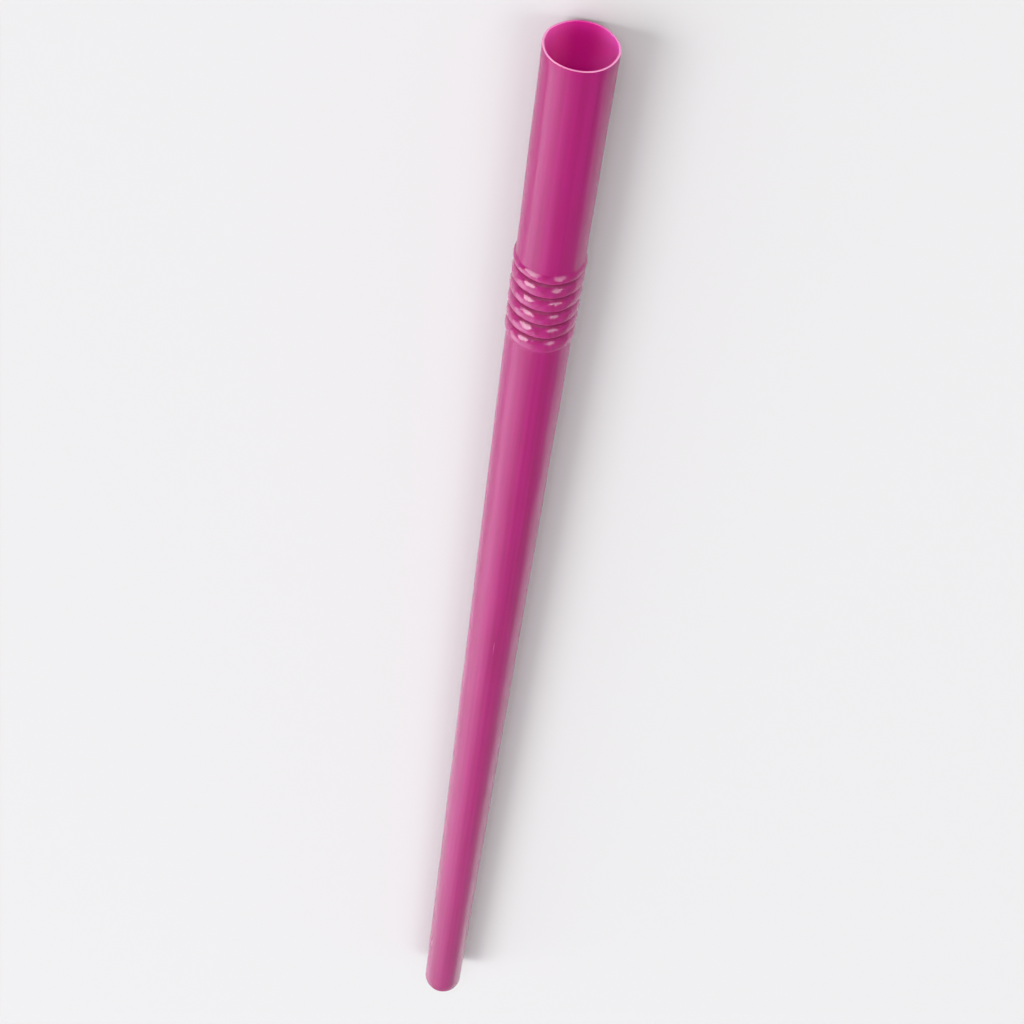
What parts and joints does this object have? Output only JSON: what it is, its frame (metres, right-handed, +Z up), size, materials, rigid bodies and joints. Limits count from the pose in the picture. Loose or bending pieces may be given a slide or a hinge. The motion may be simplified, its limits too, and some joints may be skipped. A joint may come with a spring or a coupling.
{
  "type": "flexible drinking straw",
  "caption": "Round thin-walled plastic drinking straw: a short plain mouth end, a ridged section where it bends, and a long plain stem.",
  "frame": {"origin": "on the surface that the straw lies on, under its axis and under the middle of its length", "axes": "+X along the straw from the stem's end to the mouth, +Y across it, +Z up from the surface that it lies on"},
  "size_m": [0.197, 0.0064, 0.0064],
  "materials": {
    "magenta_plastic": "gloss"
  },
  "bodies": {
    "root": {"straw": "magenta_plastic"}
  },
  "joints": []
}
